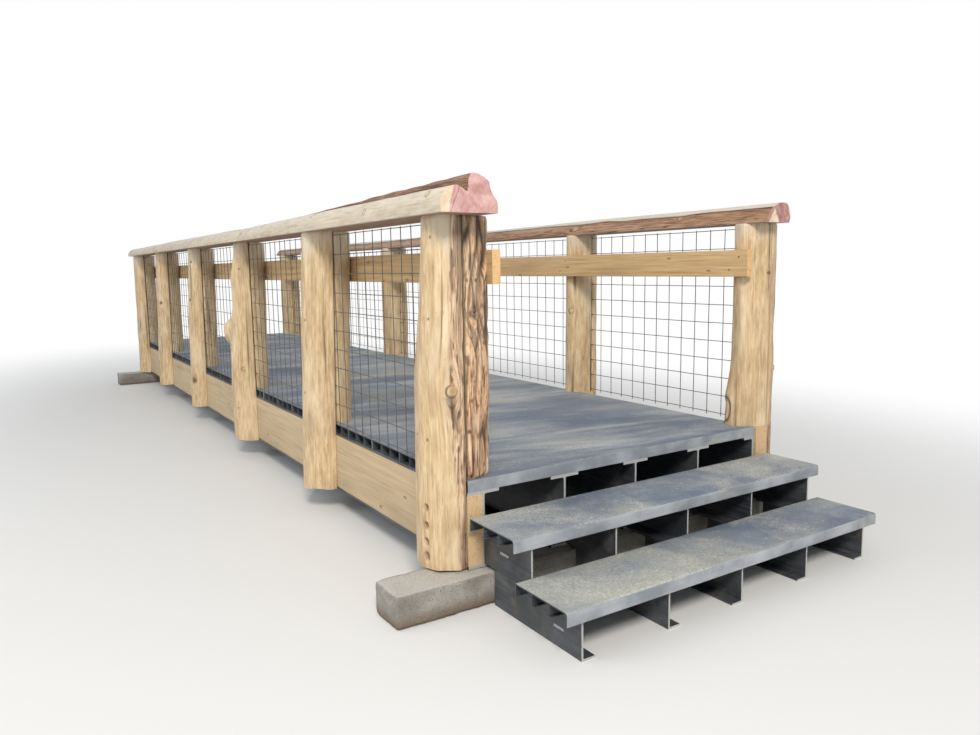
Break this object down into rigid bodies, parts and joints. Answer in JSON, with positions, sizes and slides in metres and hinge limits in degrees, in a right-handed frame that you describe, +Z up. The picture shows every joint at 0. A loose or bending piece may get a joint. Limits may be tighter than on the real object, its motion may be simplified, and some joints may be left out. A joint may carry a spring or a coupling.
{
  "type": "fiberglass pedestrian bridge with log railings and two steps",
  "caption": "Small footbridge: fiberglass beams, ribbed planks and steps, split-log posts and cap rails, sawn mid rails and welded wire mesh, on concrete footings.",
  "frame": {"origin": "on the ground under the middle of the deck's front edge, in the base of the front footing", "axes": "+Z up, +X along the bridge towards the steps, +Y to the right-hand railing of the picture"},
  "size_m": [8.539, 2.48, 1.714],
  "materials": {
    "concrete": "rough cast",
    "fiberglass": "pultruded, gritted walking face",
    "peeled_log": "peeled, weathered, unpainted",
    "sawn_timber": "sawn, unpainted",
    "galvanised_wire": "dull galvanised"
  },
  "bodies": {
    "root": {"front_footing": "concrete", "back_footing": "concrete", "beam_1": "fiberglass", "beam_2": "fiberglass", "beam_3": "fiberglass", "beam_4": "fiberglass", "edge_channel": "fiberglass", "deck_planks": "fiberglass", "upper_tread": "fiberglass", "lower_tread": "fiberglass", "upper_stringers": "fiberglass", "lower_stringers": "fiberglass", "left_post_1": "peeled_log", "left_post_2": "peeled_log", "left_post_3": "peeled_log", "left_post_4": "peeled_log", "left_post_5": "peeled_log", "left_post_6": "peeled_log", "right_post_1": "peeled_log", "right_post_2": "peeled_log", "right_post_3": "peeled_log", "right_post_4": "peeled_log", "right_post_5": "peeled_log", "right_post_6": "peeled_log", "left_cap_rail": "peeled_log", "right_cap_rail": "peeled_log", "left_mid_rail": "sawn_timber", "right_mid_rail": "sawn_timber", "left_side_board": "sawn_timber", "right_side_boards": "sawn_timber", "right_post_blocks": "sawn_timber", "left_mesh_front": "galvanised_wire", "left_mesh_middle": "galvanised_wire", "left_mesh_back": "galvanised_wire", "right_mesh_front": "galvanised_wire", "right_mesh_middle": "galvanised_wire", "right_mesh_back": "galvanised_wire"}
  },
  "joints": []
}
